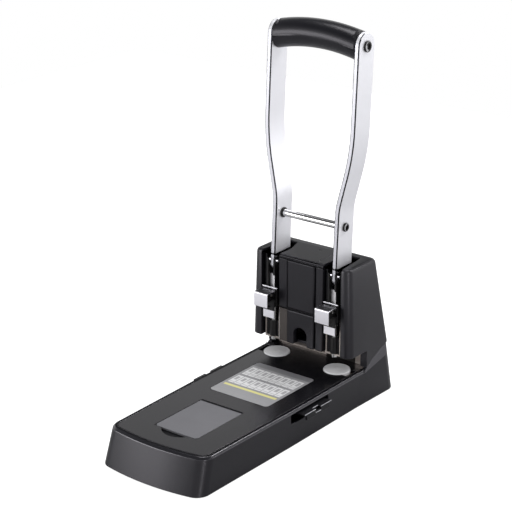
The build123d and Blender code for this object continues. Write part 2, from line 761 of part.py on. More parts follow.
def make_clamp_lever():
    sheet = clamp_sheet
    outer = slab_x([(clamp_back, clamp_high), (clamp_front, clamp_high), (clamp_front, clamp_low),
                    (clamp_front + clamp_lip, clamp_low), (clamp_front + clamp_lip, clamp_low + sheet),
                    (clamp_front + sheet, clamp_low + sheet), (clamp_front + sheet, clamp_high - sheet),
                    (clamp_back, clamp_high - sheet)],
                   punch_x - clamp_half_width, punch_x + clamp_half_width)
    bends = outer.edges().filter_by(Axis.X).filter_by(
        lambda e: e.center().Y < clamp_front + 0.01 and abs(e.center().Z - clamp_high) < 0.01)
    outer = fillet(bends, clamp_bend)
    ears = Part()
    for side in (-1, 1):
        x0, x1 = sorted((punch_x + side * ear_inner, punch_x + side * ear_outer))
        ear = block(x0, x1, clamp_front + sheet, clamp_y, clamp_low + sheet + ear_low,
                    clamp_high - sheet)
        ear += rod_x(ear_radius, x0, x1, clamp_y, clamp_z)
        ears += ear
    lever = outer + ears
    return lever - rod_x(clamp_pin_radius + clamp_pin_gap, 0, far, clamp_y, clamp_z)


# ---- springs
def biarc(p0, t0, p1, t1):
    """Two arcs from p0 to p1 that leave along t0 and arrive along t1."""
    v = p1 - p0
    a = 2 * (1 - t0.dot(t1))
    b = 2 * v.dot(t0 + t1)
    c = -v.dot(v)
    d = (-b + sqrt(b * b - 4 * a * c)) / (2 * a)
    q0, q1 = p0 + t0 * d, p1 - t1 * d
    middle = (q0 + q1) * 0.5
    along = (q1 - q0).normalized()
    return [TangentArc(p0, middle, tangent=t0), TangentArc(middle, p1, tangent=along)]


def spring_rise():
    """Lowest point of the wire's centre line, and its rise for each radian."""
    low = guide_plate_high + spring_wire_radius + spring_seat_gap
    high = ram_foot_low - spring_wire_radius - spring_top_gap
    return low, (high - low) / (2 * pi * spring_turns)


def spring_point(x, turn):
    low, rise = spring_rise()
    return Vector(x + spring_coil_radius * cos(turn), spring_y + spring_coil_radius * sin(turn),
                  low + rise * turn)


def spring_heading(turn):
    low, rise = spring_rise()
    return Vector(-spring_coil_radius * sin(turn), spring_coil_radius * cos(turn), rise).normalized()


def make_spring(x):
    edges = []
    for quarter in range(4 * spring_turns):
        start, end = quarter * pi / 2, (quarter + 1) * pi / 2
        edges += biarc(spring_point(x, start), spring_heading(start),
                       spring_point(x, end), spring_heading(end))
    path = Wire([edge for arc in edges for edge in arc.edges()])
    section = Plane(origin=spring_point(x, 0), z_dir=spring_heading(0)) * Circle(spring_wire_radius)
    return sweep(section, path=path)


def spring_gap():
    """Least gap between one curl and the next, measured on points along the wire."""
    per_turn = 24
    points = [spring_point(0, 2 * pi * i / per_turn) for i in range(per_turn * spring_turns + 1)]
    apart = [(p - q).length for i, p in enumerate(points) for q in points[i + per_turn // 2:]]
    return min(apart) - 2 * spring_wire_radius


# ---- tower cover
def cover_plan(z, inset=0.0):
    share = (z - deck_z) / (cover_top - deck_z)
    half = between(cover_half_low, cover_half_high, share) - inset
    rear = between(cover_rear_low, cover_rear_high, share) - inset
    front = cover_front + inset
    depth = rear - front
    radius = max(cover_corner - inset, 1.0)
    return (Location((0, (front + rear) / 2, z)) * RectangleRounded(2 * half, depth, radius)).face()


def cover_loft(levels):
    sections = [cover_plan(z, inset) for z, inset in levels]
    return loft(sections, ruled=True)


def bay_opening():
    """The right bay with the slot at its rear, through the roof."""
    plan = [(bay_inner, cover_front - 5), (bay_outer, cover_front - 5), (bay_outer, cover_front),
            (slot_outer + bay_lip, bay_rear - bay_outer_slope), (slot_outer, bay_rear),
            (slot_inner, bay_rear), (bay_inner, bay_rear - bay_inner_slope)]
    return slab_z(plan, 0, cover_top + 5)


def make_tower_cover():
    rim = cover_rim
    steps = [(deck_z - 5, 0.0), (cover_top - rim, 0.0), (cover_top - rim * 0.35, rim * 0.25),
             (cover_top, rim * 0.9)]
    cover = cover_loft(steps)
    floor_z = throat_top + cover_wall
    inner = cover_loft([(deck_z - 6, cover_wall), (cover_top - cover_roof, cover_wall)])
    stop = back_stop_half_width
    room = block(-far, far, cover_front + cover_wall, far, floor_z, far)
    room += block(-stop, stop, throat_rear, far, 0, far)
    inner &= room
    walls = both_sides(block(bay_inner - column_wall, bay_inner, -far, bay_wall_rear, 0, far))
    walls += both_sides(block(bay_outer, bay_outer + column_wall, -far, bay_rear, 0, far))
    walls += block(-bay_inner, bay_inner, cover_front, cover_front + panel_thickness + cover_wall, 0, far)
    cover -= inner - walls
    cover -= both_sides(bay_opening())
    cover -= both_sides(block(bay_inner, bay_outer, -far, throat_rear, 0, cover_top - cover_roof))
    cover -= block(-far, far, -far, throat_side_rear, 0, throat_top)
    cover -= block(-stop, stop, -far, throat_rear + back_stop_thickness, 0, throat_top)
    cover -= block(-bay_inner, bay_inner, -far, cover_front + panel_thickness, 0, panel_top)
    cover -= base_below_cover()
    cover -= arch_tool()
    cover -= rod_x(fulcrum_radius + shaft_hole_gap, -bay_outer, bay_outer, fulcrum_y, fulcrum_z)
    cover -= rod_z(top_screw_radius + top_screw_gap, 0, top_screw_y, cover_top - top_screw_hole, far)
    return cover - block(panel_half_width, panel_half_width + seam_right, -far, roof_seam_rear,
                         cover_top - roof_seam_depth, far)


def base_below_cover():
    """Room for the base and its raised sides, with the gap above them."""
    rising = [(y, z + wing_gap) for y, z in wing_points]
    (front_y, front_z), (rear_y, rear_z) = rising[0], rising[-1]
    outline = [(-far, 0), (-far, front_z)] + rising + [(far, rear_z), (far, 0)]
    return slab_x(outline, -far, far)


def arch_tool():
    straight = arch_top - arch_half_width
    front, rear = cover_front - arch_ahead, cover_front + arch_behind
    arch = block(-arch_half_width, arch_half_width, front, rear, 0, straight)
    place = Location((0, (front + rear) / 2, straight)) * Rotation(90, 0, 0)
    return arch + place * Cylinder(arch_half_width, rear - front)


def make_centre_upper():
    panel = block(-panel_half_width, panel_half_width, cover_front - panel_proud,
                  cover_front + panel_thickness, panel_groove_z + panel_groove / 2,
                  panel_top - panel_top_gap)
    return soften_front(panel)


def make_centre_lower():
    panel = block(-panel_half_width, panel_half_width, cover_front - panel_proud,
                  cover_front + panel_thickness, throat_top, panel_groove_z - panel_groove / 2)
    return soften_front(panel) - arch_tool()


def soften_front(panel):
    front = panel.edges().group_by(Axis.Y)[0]
    return chamfer(front, panel_edge)


def make_side_strip(side, seam, low):
    x0, x1 = sorted((side * (panel_half_width + seam), side * bay_inner))
    return block(x0, x1, cover_front + strip_back, cover_front + panel_thickness, low,
                 panel_top - panel_top_gap)


def make_frame_flange():
    """Steel flange of the left bay's frame, seen below the shorter strip."""
    return block(-bay_inner, -(panel_half_width + seam_left), cover_front + flange_back,
                 cover_front + panel_thickness, throat_top, panel_groove_z - panel_groove / 2)


def make_top_screw():
    return rod_z(top_screw_radius, 0, top_screw_y, cover_top - top_screw_hole, cover_top - top_screw_sink)


# ---- write every piece
pieces = {
    "base_shell": make_base_shell(),
    "deck_cover": make_deck_cover(),
    "base_floor": make_floor(),
    "rubber_feet": make_feet(),
    "base_bolts": make_base_bolts(),
    "foot_plate": make_foot_plate(),
    "storage_tray": make_storage_tray(),
    "storage_lid": make_storage_lid(),
    "lid_hinge_pin": make_lid_pin(),
    "label_plate": make_label(),
    "side_gauge": make_side_gauge(),
    "gauge_rails": make_gauge_rails(),
    "die_plate": make_die_plate(),
    "disc_pivots": make_disc_pivots(),
    "disc_right": make_disc(punch_x),
    "disc_left": make_disc(-punch_x),
    "back_stop": make_back_stop(),
    "guide_blocks": make_guide_blocks(),
    "punch_bushes": make_punch_bushes(),
    "frame_tie_rods": make_tie_rods(),
    "lever_stops": make_lever_stops(),
    "fulcrum_shaft": make_fulcrum_shaft(),
    "shaft_clips": make_shaft_clips(),
    "fulcrum_spacers": make_spacers(),
    "cross_pins": make_cross_pins(),
    "crossbar": make_crossbar(),
    "crossbar_washers": make_crossbar_washers(),
    "crossbar_screws": make_crossbar_screws(),
    "grip": make_grip(),
    "grip_core": make_grip_core(),
    "grip_screws": make_grip_screws(),
    "tower_cover": make_tower_cover(),
    "centre_panel_upper": make_centre_upper(),
    "centre_panel_lower": make_centre_lower(),
    "side_strip_right": make_side_strip(1, seam_right, throat_top),
    "side_strip_left": make_side_strip(-1, seam_left, panel_groove_z + panel_groove / 2),
    "frame_flange": make_frame_flange(),
    "top_screw": make_top_screw(),
    "return_spring_right": make_spring(punch_x),
    "return_spring_left": make_spring(-punch_x),
}

paired = {
    "bay_frame": make_bay_frame,
    "arm": make_arm,
    "ram_block": make_ram_block,
    "ram_bar": make_ram_bar,
    "ram_plate": make_ram_plate,
    "yoke": make_yoke,
    "back_tab": make_back_tab,
    "punch_tube": make_punch_tube,
    "clamp_pin": make_clamp_pin,
    "clamp_lever": make_clamp_lever,
}
for name, make in paired.items():
    right = make()
    pieces[name + "_right"] = right
    pieces[name + "_left"] = mirrored(right)

os.makedirs("parts", exist_ok=True)
for name, piece in pieces.items():
    export_step(Location((0, origin_y, 0)) * piece, "parts/" + name + ".step")

print("least gap between the spring's curls:", round(spring_gap(), 2), "mm, over", spring_turns, "curls")
print(len(pieces), "pieces; the footprint's middle is", round(origin_y, 2), "mm ahead of the discs' line")
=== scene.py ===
import json
import math
import bpy
from mathutils import Matrix, Vector


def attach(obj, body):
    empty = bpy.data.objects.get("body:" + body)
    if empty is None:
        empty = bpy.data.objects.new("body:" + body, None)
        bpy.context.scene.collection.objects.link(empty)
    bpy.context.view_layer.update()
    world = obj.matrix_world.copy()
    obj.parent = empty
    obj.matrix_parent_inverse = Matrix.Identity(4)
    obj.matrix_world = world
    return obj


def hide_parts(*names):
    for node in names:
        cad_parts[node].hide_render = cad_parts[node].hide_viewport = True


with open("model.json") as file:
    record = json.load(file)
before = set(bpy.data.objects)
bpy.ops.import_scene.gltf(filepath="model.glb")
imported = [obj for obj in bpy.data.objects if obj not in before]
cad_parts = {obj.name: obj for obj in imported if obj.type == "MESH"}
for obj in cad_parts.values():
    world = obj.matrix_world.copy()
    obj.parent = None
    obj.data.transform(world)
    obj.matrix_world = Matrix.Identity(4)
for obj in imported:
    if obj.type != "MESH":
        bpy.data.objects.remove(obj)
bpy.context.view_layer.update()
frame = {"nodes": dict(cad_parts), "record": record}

nodes = frame["nodes"]
bodyOf = {name: body for body, members in frame["record"]["behaviour"]["bodies"].items()
          for name in members}
slotOf = {part["node"]: part["material_slot"] for part in frame["record"]["subparts"]}
mm = 0.001
punchLine = 96.9      # the punches stand this far behind the middle of the footprint


def at(x, y, z):
    # a place in millimetres, with y counted from the punch line
    return Vector((x * mm, (y + punchLine) * mm, z * mm))


# camera and room
camera = {
    # fitted to the picture; the three directions are the camera's own axes
    "lens": 121.27, "sensor": 36.0,
    "place": (0.9988, -1.2992, 0.7911), "clip": (0.05, 50),
    "right": (0.7943, 0.6075, 0.0), "up": (-0.2100, 0.2745, 0.9384), "back": (0.5701, -0.7454, 0.3456),
}
cameraData = bpy.data.cameras.new("camera")
cameraObject = bpy.data.objects.new("camera", cameraData)
bpy.context.scene.collection.objects.link(cameraObject)
cameraData.lens, cameraData.sensor_width = camera["lens"], camera["sensor"]
cameraData.clip_start, cameraData.clip_end = camera["clip"]
turn = Matrix((camera["right"], camera["up"], camera["back"])).transposed().to_4x4()
cameraObject.matrix_world = Matrix.Translation(camera["place"]) @ turn
bpy.context.scene.camera = cameraObject
bpy.context.scene.view_settings.view_transform = "Standard"

room = {
    "floorSize": (2.6, 2.4), "floorPlace": (0.1, 0.0),
    "floorColour": (0.34, 0.34, 0.345, 1), "floorLift": 0.84,     # the lift is for camera rays only
    # what the sky gives to matt surfaces, and what gloss sees below and above the change
    "skyDiffuse": 0.95, "horizonGlow": 1.0, "ceilingGlow": 0.10, "glowChange": (0.36, 0.62),
    # name: place, aimed at, width, height, watts
    "lamps": {
        "keyBox": ((-1.40, -1.80, 0.50), (0, -0.02, 0.15), 1.3, 0.9, 23),
        "backBox": ((0.90, 1.45, 1.95), (0, 0, 0.1), 1.1, 0.6, 39),
        "sideBox": ((1.62, 1.42, 0.30), (0, 0, 0.1), 1.2, 0.5, 2.5),
        "rightBox": ((1.95, -1.42, 0.42), (0, 0, 0.1), 0.32, 0.9, 8),
        "topBox": ((-0.3, 0.3, 2.2), (0, 0, 0.1), 1.0, 1.0, 22),
    },
}


class Value:
    # one shader socket, so that patterns are written as sums
    def __init__(self, finish, socket):
        self.finish, self.socket = finish, socket

    def maths(self, operation, first, second=None):
        inputs = {0: first} if second is None else {0: first, 1: second}
        return self.finish.node("ShaderNodeMath", {"operation": operation}, inputs)

    def __add__(self, other): return self.maths("ADD", self, other)
    def __radd__(self, other): return self.maths("ADD", other, self)
    def __sub__(self, other): return self.maths("SUBTRACT", self, other)
    def __rsub__(self, other): return self.maths("SUBTRACT", other, self)
    def __mul__(self, other): return self.maths("MULTIPLY", self, other)
    def __rmul__(self, other): return self.maths("MULTIPLY", other, self)
    def __truediv__(self, other): return self.maths("DIVIDE", self, other)
    def __rtruediv__(self, other): return self.maths("DIVIDE", other, self)
    def __mod__(self, other): return self.maths("FLOORED_MODULO", self, other)
    def __gt__(self, other): return self.maths("GREATER_THAN", self, other)
    def __lt__(self, other): return self.maths("LESS_THAN", self, other)
    def sine(self): return self.maths("SINE", self)
    def size(self): return self.maths("ABSOLUTE", self)
    def root(self): return self.maths("SQRT", self)


class Finish:
    def __init__(self, owner, tree):
        self.owner, self.tree = owner, tree

    def node(self, kind, settings=None, inputs=None, out=0):
        made = self.tree.nodes.new(kind)
        for key, value in (settings or {}).items():
            setattr(made, key, value)
        for key, value in (inputs or {}).items():
            self.feed(made.inputs[key], value)
        return Value(self, made.outputs[out]) if len(made.outputs) else None

    def feed(self, socket, value):
        if isinstance(value, Value):
            self.tree.links.new(value.socket, socket)
        else:
            socket.default_value = value

    def mix(self, share, first, second):
        # colours, by a share from 0 to 1
        return self.node("ShaderNodeMix", {"data_type": "RGBA"},
                         {"Factor": share, 6: first, 7: second}, out=2)

    def place(self, centre=(0, 0, 0), turned=(0, 0, 0), scale=(1, 1, 1)):
        # object coordinates moved, turned and stretched
        spot = self.node("ShaderNodeTexCoord", out=3)
        moved = self.node("ShaderNodeMapping", {"vector_type": "TEXTURE"},
                          {"Vector": spot, "Location": centre, "Rotation": turned})
        return self.node("ShaderNodeVectorMath", {"operation": "MULTIPLY"}, {0: moved, 1: scale})

    def noise(self, spot, scale, detail=3.0, roughness=0.5):
        return self.node("ShaderNodeTexNoise", inputs={
            "Vector": spot, "Scale": scale, "Detail": detail, "Roughness": roughness})

    def parts(self, spot):
        # x, y and z of a place
        split = self.node("ShaderNodeSeparateXYZ", inputs={0: spot}).socket.node
        return [Value(self, socket) for socket in split.outputs]


class Material(Finish):
    def __init__(self, name, **constants):
        made = bpy.data.materials.new(name)
        made.use_nodes = True
        super().__init__(made, made.node_tree)
        self.shader = made.node_tree.nodes["Principled BSDF"]
        for key, value in constants.items():
            self.set(key, value)

    def set(self, key, value):
        names = {"colour": "Base Color", "roughness": "Roughness", "metallic": "Metallic",
                 "normal": "Normal", "specular": "Specular IOR Level", "tint": "Specular Tint"}
        self.feed(self.shader.inputs[names[key]], value)

    def bump(self, height, depth, strength):
        # depth in mm
        return self.node("ShaderNodeBump", inputs={
            "Height": height, "Distance": depth * mm, "Strength": strength})


def makeRoom():
    world = bpy.data.worlds.new("studio")
    bpy.context.scene.world = world
    world.use_nodes = True
    tree = world.node_tree
    tree.nodes.clear()
    sky = Finish(world, tree)
    cameraRay = sky.node("ShaderNodeLightPath", out="Is Camera Ray")
    glossyRay = (sky.node("ShaderNodeLightPath", out="Is Glossy Ray")
                 + sky.node("ShaderNodeLightPath", out="Is Transmission Ray"))
    height = sky.parts(sky.node("ShaderNodeTexCoord", out=0))[2]
    above = sky.node("ShaderNodeMapRange", {"interpolation_type": "SMOOTHSTEP"},
                     {"Value": height, "From Min": room["glowChange"][0], "From Max": room["glowChange"][1],
                      "To Min": room["horizonGlow"], "To Max": room["ceilingGlow"]})
    strength = cameraRay + (1 - cameraRay) * (glossyRay * above + (1 - glossyRay) * room["skyDiffuse"])
    light = sky.node("ShaderNodeBackground", inputs={"Color": (1, 1, 1, 1), "Strength": strength})
    sky.node("ShaderNodeOutputWorld", inputs={"Surface": light})

    bpy.ops.object.select_all(action="DESELECT")
    bpy.ops.mesh.primitive_plane_add(size=1, location=(*room["floorPlace"], 0))
    floor = bpy.context.object
    floor.name, floor.scale = "floor", (*room["floorSize"], 1)
    paint = bpy.data.materials.new("floorPaint")
    paint.use_nodes = True
    paint.node_tree.nodes.clear()
    coat = Finish(paint, paint.node_tree)
    seen = coat.node("ShaderNodeLightPath", out="Is Camera Ray") * room["floorLift"]
    matt = coat.node("ShaderNodeBsdfDiffuse", inputs={"Color": room["floorColour"]})
    glow = coat.node("ShaderNodeEmission", inputs={"Color": (1, 1, 1, 1), "Strength": seen})
    both = coat.node("ShaderNodeAddShader", inputs={0: matt, 1: glow})
    coat.node("ShaderNodeOutputMaterial", inputs={"Surface": both})
    floor.data.materials.append(paint)

    for name, (place, target, width, height, watts) in room["lamps"].items():
        data = bpy.data.lights.new(name, "AREA")
        data.shape, data.size, data.size_y, data.energy = "RECTANGLE", width, height, watts
        lamp = bpy.data.objects.new(name, data)
        bpy.context.scene.collection.objects.link(lamp)
        lamp.location = place
        lamp.rotation_euler = (Vector(target) - Vector(place)).to_track_quat("-Z", "Y").to_euler()
    print("room ready")


makeRoom()


# finishes
plastics = {
    # colour, roughness, specular, grain size in mm, grain depth in mm
    "shellPlastic": ((0.0042, 0.0042, 0.0058), 0.32, 0.35, 0.45, 0.006),
    "deckPlastic": ((0.0036, 0.0036, 0.0046), 0.24, 0.36, 0.45, 0.004),
    "towerPlastic": ((0.0050, 0.0050, 0.0068), 0.33, 0.40, 0.50, 0.008),
    "roofPlastic": ((0.0050, 0.0050, 0.0066), 0.40, 0.16, 0.50, 0.008),
    "lidPlastic": ((0.088, 0.088, 0.096), 0.42, 0.30, 0.45, 0.010),
    # painted highlight: a lighter, glossier copy of the shell's plastic, for the rim bevel
    "rimPlastic": ((0.0080, 0.0080, 0.0100), 0.24, 0.75, 0.45, 0.004),
    # painted sheen: a lighter, glossier copy of the shell's plastic, for the wing's facet
    "wingPlastic": ((0.0120, 0.0120, 0.0150), 0.30, 1.0, 0.45, 0.006),
    # painted shade: a darker, duller plastic for gaps and recesses
    "groovePlastic": ((0.0030, 0.0030, 0.0040), 0.50, 0.03, 0.45, 0.006),
    "hiddenPlastic": ((0.008, 0.008, 0.009), 0.55, 0.12, 0.60, 0.015),
    "gaugePlastic": ((0.0046, 0.0046, 0.0056), 0.32, 0.22, 0.40, 0.006),
    # painted highlight for the gauge's end edges
    "gaugeEdge": ((0.26, 0.26, 0.28), 0.28, 0.50, 0.40, 0.006),
}


# each noise is scale, detail and roughness
mould = {
    "tint": (0.96, 0.93, 1.0, 1), "shades": (0.82, 1.16),
    "grain": (4.0, 0.6), "cloud": (28.0, 2.0, 0.5), "rubbed": (160.0, 5.0, 0.65),
    "cloudShare": 0.7, "roughSwing": 0.04, "bump": 0.8,
}


def shade(colour, times):
    return tuple(min(1, part * times) for part in colour[:3]) + (1,)


def mouldedPlastic(name, colour, roughness, specular, grainSize, grainDepth):
    # spark-eroded plastic: fine pits, faint clouding and handling marks
    made = Material(name, specular=specular, tint=mould["tint"])
    spot = made.place()
    grain = made.noise(spot, 1 / (grainSize * mm), *mould["grain"])
    cloud = made.noise(spot, *mould["cloud"])
    rubbed = made.noise(spot, *mould["rubbed"])
    share = cloud * mould["cloudShare"] + grain * (1 - mould["cloudShare"])
    made.set("colour", made.mix(share, *[shade(colour, times) for times in mould["shades"]]))
    swing = mould["roughSwing"]
    made.set("roughness", roughness - swing + swing * grain + swing * rubbed)
    made.set("normal", made.bump(grain, grainDepth, mould["bump"]))
    return made.owner


brush = {
    "stretch": (2600, 2600, 45), "marks": (1.0, 3.0, 0.55),     # long along z and fine across
    "stain": (60.0, 4.0, 0.6), "markShare": 0.7, "lift": 0.3,
    "roughness": (-0.06, 0.10, 0.06), "depth": 0.004, "bump": 0.6,
}
upright, level = (0, 0, 0), (0, math.radians(90), 0)
armTurn = (math.radians(-3.05), 0, 0)       # the arms lean back by this much
metals = {
    # colour, roughness, how much the brush marks show, their turn, and metallic if it isn't 1
    "plateSteel": ((0.30, 0.265, 0.245), 0.34, 0.16, upright),
    "zincSteel": ((0.50, 0.49, 0.48), 0.32, 0.12, upright),
    "springSteel": ((0.42, 0.41, 0.40), 0.30, 0.10, upright),
    "brightSteel": ((0.84, 0.83, 0.88), 0.34, 0.10, upright),
    "stopShade": ((0.022, 0.020, 0.019), 0.45, 0.20, upright),
    "shadedSteel": ((0.100, 0.090, 0.086), 0.40, 0.25, upright),
    "satinSteel": ((0.62, 0.61, 0.63), 0.52, 0.22, upright),
    # painted shade on the clamp levers' tops
    "greySteel": ((0.12, 0.12, 0.13), 0.42, 0.30, level),
    "punchSteel": ((0.66, 0.66, 0.66), 0.22, 0.10, upright),
    "armAluminium": ((0.76, 0.76, 0.80), 0.34, 0.08, armTurn, 0.55),
    # painted shade on the arms' front faces
    "armFront": ((0.50, 0.50, 0.54), 0.40, 0.08, armTurn, 0.7),
    "screwSteel": ((0.46, 0.46, 0.48), 0.30, 0.12, upright),
    # painted reflection: the dark line down each arm's front edge
    "armEdge": ((0.035, 0.035, 0.04), 0.30, 0.08, armTurn),
}


def brushMarks(made, turned=upright):
    return made.noise(made.place(turned=turned, scale=brush["stretch"]), *brush["marks"])


def brushedMetal(name, colour, roughness, marks, turned, metallic=1.0):
    # fine marks along z or as turned, with faint stains
    made = Material(name, metallic=metallic)
    lines = brushMarks(made, turned)
    stain = made.noise(made.place(), *brush["stain"])
    share = lines * brush["markShare"] + stain * (1 - brush["markShare"])
    made.set("colour", made.mix(share, shade(colour, 1 - marks), shade(colour, 1 + marks * brush["lift"])))
    offset, byLines, byStain = brush["roughness"]
    made.set("roughness", roughness + offset + byLines * lines + byStain * stain)
    made.set("normal", made.bump(lines, brush["depth"], brush["bump"]))
    return made.owner


bayPlate = {
    # painted shade: the plates are painted black above this height, as shade inside the bay
    "blackFrom": 96, "fade": 6.0,       # the height where it turns black, and half the change
    "dark": (0.30, 0.27, 0.25, 1), "light": (0.42, 0.38, 0.35, 1), "black": (0.010, 0.010, 0.012, 1),
    "blackMetallic": 0.6, "roughness": (0.30, 0.12),
}


def frameSteel(name):
    # bare plate low down, painted black above the guides as shade inside the bay
    made = Material(name)
    x, y, z = made.parts(made.place(centre=at(0, 0, bayPlate["blackFrom"])))
    marks = brushMarks(made)
    fade = bayPlate["fade"] * mm
    share = made.node("ShaderNodeMapRange", {"interpolation_type": "SMOOTHSTEP"},
                      {"Value": z, "From Min": -fade, "From Max": fade, "To Min": 0.0, "To Max": 1.0})
    bare = made.mix(marks, bayPlate["dark"], bayPlate["light"])
    made.set("colour", made.mix(share, bare, bayPlate["black"]))
    made.set("metallic", 1 - (1 - bayPlate["blackMetallic"]) * share)
    least, more = bayPlate["roughness"]
    made.set("roughness", least + more * marks)
    made.set("normal", made.bump(marks, brush["depth"], brush["bump"]))
    return made.owner


# finishes in two shades: patches between them, a fine bump, and roughness that follows one of the two
mottled = {
    "chromePlate": {
        "constants": {"metallic": 1.0}, "patch": (90.0, 5.0, 0.6), "fine": (1500.0, 2.0, 0.5),
        "dark": (0.72, 0.72, 0.73, 1), "light": (0.82, 0.82, 0.82, 1),
        "roughness": (0.05, 0.07, "patch"), "bump": (0.001, 0.5)},
    # black oxide steel, also used as painted shade inside the clamp levers, on the back tabs' tops and in
    # the screw sockets
    "blackenedSteel": {
        "constants": {"metallic": 0.7, "specular": 0.4},
        "patch": (130.0, 5.0, 0.6), "fine": (1800.0, 3.0, 0.6),
        "dark": (0.010, 0.010, 0.012, 1), "light": (0.030, 0.029, 0.028, 1),
        "roughness": (0.30, 0.16, "patch"), "bump": (0.006, 0.6)},
    "gripSkin": {
        "constants": {"specular": 0.30, "tint": mould["tint"]}, "patch": (40.0, 3.0, 0.5),
        "fine": (1400.0, 4.0, 0.6), "dark": (0.005, 0.005, 0.007, 1), "light": (0.008, 0.008, 0.010, 1),
        "roughness": (0.25, 0.07, "fine"), "bump": (0.012, 0.7)},
    "footRubber": {
        "constants": {"specular": 0.3}, "patch": (900.0, 4.0, 0.6), "fine": (900.0, 4.0, 0.6),
        "dark": (0.020, 0.020, 0.020, 1), "light": (0.045, 0.044, 0.043, 1),
        "roughness": (0.70, 0.15, "patch"), "bump": (0.02, 0.8)},
}


def mottledFinish(name, look):
    made = Material(name, **look["constants"])
    spot = made.place()
    noises = {kind: made.noise(spot, *look[kind]) for kind in ("patch", "fine")}
    made.set("colour", made.mix(noises["patch"], look["dark"], look["light"]))
    least, more, follows = look["roughness"]
    made.set("roughness", least + more * noises[follows])
    made.set("normal", made.bump(noises["fine"], *look["bump"]))
    return made.owner


discLook = {
    "pitch": 1.25,      # between the rings, in mm
    "cloud": (220.0, 4.0, 0.6), "scratchTurn": (0, 0, math.radians(32)), "scratchStretch": (120, 2400, 120),
    "scratch": (1.0, 3.0, 0.6), "shares": (0.30, 0.35, 0.35),
    "dark": (0.40, 0.40, 0.42, 1), "light": (0.92, 0.92, 0.93, 1),
    "roughness": (0.38, 0.12), "bumpShares": (0.6, 0.4), "bump": (0.010, 0.5),
}


def discFace(name, centreX):
    # light disc, turned in fine rings about its own centre
    made = Material(name, specular=0.5)
    spot = made.place(centre=at(centreX, 0, 0))
    x, y, z = made.parts(spot)
    radius = (x * x + y * y).root()
    rings = (radius * (2 * math.pi / (discLook["pitch"] * mm))).sine() * 0.5 + 0.5
    cloud = made.noise(spot, *discLook["cloud"])
    scratch = made.noise(made.place(turned=discLook["scratchTurn"], scale=discLook["scratchStretch"]),
                         *discLook["scratch"])
    byRings, byCloud, byScratch = discLook["shares"]
    share = rings * byRings + cloud * byCloud + scratch * byScratch
    made.set("colour", made.mix(share, discLook["dark"], discLook["light"]))
    least, more = discLook["roughness"]
    made.set("roughness", least + more * cloud)
    byRings, byScratch = discLook["bumpShares"]
    made.set("normal", made.bump(rings * byRings + scratch * byScratch, *discLook["bump"]))
    return made.owner


label = {
    "halfWidth": 37.5, "rear": -36.6,
    "film": (0.25, 0.25, 0.26, 1), "head": (0.15, 0.15, 0.16, 1), "panel": (0.66, 0.66, 0.67, 1),
    "ink": (0.22, 0.22, 0.23, 1), "band": (0.58, 0.55, 0.22, 1),
    "headDepth": 9.5, "margin": 3.5,
    "panelRows": ((-71.0, -50.5), (-95.0, -75.5)), "panelPitch": 8.8, "panelGap": 0.9,
    "rules": ((-73.6, -72.9), (-97.0, -96.5), (-107.5, -107.0), (-112.0, -111.5)),
    "bandPlace": (-102.6, -98.6),
    "blockRows": ((-62.5, -53.5), (-87.0, -78.5)), "blockSpan": (0.30, 0.72),
    "barRows": ((-68.8, -67.6), (-66.4, -65.4), (-92.8, -91.6)), "barSpan": (0.16, 0.86),
    # how strongly each print covers: least, and what the ink's noise adds
    "panelCover": (0.85, 0.15), "blockCover": (0.55, 0.4), "barCover": 0.6,
    "inkNoise": (900.0, 3.0, 0.6), "filmShade": 0.93,
    "roughness": (0.30, 0.12), "metallic": (0.25, 0.1), "bumpShares": (0.3, 0.7), "bump": (0.01, 0.4),
}


def labelFilm(name):
    # a blank printed film: a header, two rows of empty panels, rules and a plain band
    made = Material(name, specular=0.5)
    x, y, z = made.parts(made.place(centre=at(0, 0, 0), scale=(1 / mm,) * 3))      # in millimetres
    inside = (x.size() < label["halfWidth"] - label["margin"])
    ink = made.noise(made.place(), *label["inkNoise"])

    def strip(low, high):
        return (y > low) * (y < high)

    def rows(kind):
        total = 0
        for low, high in label[kind]:
            total = strip(low, high) + total
        return total

    def across(kind):
        start, end = label[kind]
        return (cell / pitch > start) * (cell / pitch < end)

    def inked(kind):
        least, more = label[kind]
        return least + more * ink

    pitch, gap = label["panelPitch"], label["panelGap"]
    cell = (x + 8 * pitch) % pitch      # the place within a panel, with x made positive first
    panels = rows("panelRows") * (cell > gap / 2) * (cell < pitch - gap / 2) * inside
    blocks = rows("blockRows") * across("blockSpan") * panels
    bars = rows("barRows") * across("barSpan") * panels
    rules = rows("rules")
    colour = made.mix(ink, shade(label["film"], label["filmShade"]), label["film"])
    colour = made.mix(strip(label["rear"] - label["headDepth"], label["rear"] + 1), colour, label["head"])
    colour = made.mix(panels * inked("panelCover"), colour, label["panel"])
    colour = made.mix(blocks * inked("blockCover"), colour, label["ink"])
    colour = made.mix(bars * label["barCover"], colour, label["ink"])
    colour = made.mix(rules * inside, colour, label["ink"])
    colour = made.mix(strip(*label["bandPlace"]) * inside, colour, label["band"])
    made.set("colour", colour)
    made.set("roughness", inked("roughness"))
    made.set("metallic", inked("metallic"))
    byInk, byPanels = label["bumpShares"]
    made.set("normal", made.bump(ink * byInk + panels * byPanels, *label["bump"]))
    return made.owner


finish = {name: mouldedPlastic(name, *look) for name, look in plastics.items()}
finish.update({name: brushedMetal(name, *look) for name, look in metals.items()})
finish.update({name: mottledFinish(name, look) for name, look in mottled.items()})
finish["frameSteel"] = frameSteel("frameSteel")
finish["labelFilm"] = labelFilm("labelFilm")
sides = (("right", 40), ("left", -40))      # each side's name and its middle, in mm
for side, centreX in sides:
    name = "discFace" + side.capitalize()
    finish[name] = discFace(name, centreX)
print("finishes ready:", len(finish))


# modelling helpers
def pickOnly(piece):
    bpy.ops.object.select_all(action="DESELECT")
    piece.select_set(True)
    bpy.context.view_layer.objects.active = piece


